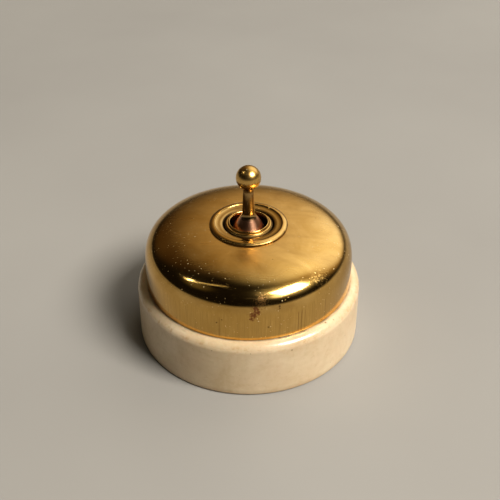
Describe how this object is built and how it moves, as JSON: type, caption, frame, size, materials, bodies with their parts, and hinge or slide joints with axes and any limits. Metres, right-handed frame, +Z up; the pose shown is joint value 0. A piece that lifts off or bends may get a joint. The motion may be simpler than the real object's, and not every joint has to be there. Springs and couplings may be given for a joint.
{
  "type": "round toggle light switch",
  "caption": "Antique round surface-mounted toggle switch: ceramic base, domed brass cover with locking ring, and a ball-ended brass lever.",
  "frame": {"origin": "centre of the ceramic base's underside", "axes": "+Z up out of the base through the lever at rest, +X along the lever's and rocker's pivot pins, -Y the side that the lever tips towards to close the circuit"},
  "size_m": [0.064, 0.064, 0.0524],
  "materials": {
    "ceramic": "cream satin glaze with a glossier rounded top edge and fine specks",
    "polished_brass": "polished, lightly aged, with fine scratches and small pits",
    "plain_brass": "dull machined brass",
    "copper": "rolled copper alloy strip, slightly tarnished",
    "steel": "bright drawn steel",
    "ebonite": "black-brown moulded ebonite",
    "fibre": "red-brown vulcanised fibre board"
  },
  "bodies": {
    "base": {"ceramic_base": "ceramic", "bridge": "plain_brass", "neck_collar": "polished_brass", "lever_pin": "steel", "rocker_pin": "steel", "rocker_washer_left": "fibre", "rocker_washer_right": "fibre", "contact_spring_left": "copper", "contact_spring_right": "copper", "terminal_block_left": "plain_brass", "terminal_block_right": "plain_brass", "clamp_screw_left": "plain_brass", "clamp_screw_right": "plain_brass", "terminal_screw_left": "plain_brass", "terminal_screw_right": "plain_brass", "bridge_screw_left": "plain_brass", "bridge_screw_right": "plain_brass"},
    "lever": {"toggle_lever": "polished_brass", "lever_plunger": "steel", "lever_spring": "steel"},
    "rocker": {"rocker": "ebonite", "contact_bar": "copper", "contact_bar_screw": "plain_brass"},
    "cover": {"dome_cover": "polished_brass", "cover_liner": "fibre"},
    "ring": {"locking_ring": "polished_brass"}
  },
  "joints": [
    {"name": "lever_tip", "type": "hinge", "parent": "base", "child": "lever", "pos_m": [0, 0, 0.0315], "axis": [1, 0, 0], "range_deg": [-20, 20]},
    {"name": "rocker_tip", "type": "hinge", "parent": "base", "child": "rocker", "pos_m": [0, 0, 0.017], "axis": [1, 0, 0], "range_deg": [-19.2, 19.2]},
    {"name": "cover_lift", "type": "slide", "parent": "base", "child": "cover", "axis": [0, 0, 1], "range_m": [0, 0.045]},
    {"name": "ring_turn", "type": "hinge", "parent": "cover", "child": "ring", "pos_m": [0, 0, 0.034], "axis": [0, 0, 1], "continuous": true}
  ],
  "couplings": [
    {"joint": "rocker_tip", "follows": "lever_tip", "ratio": -0.95}
  ]
}
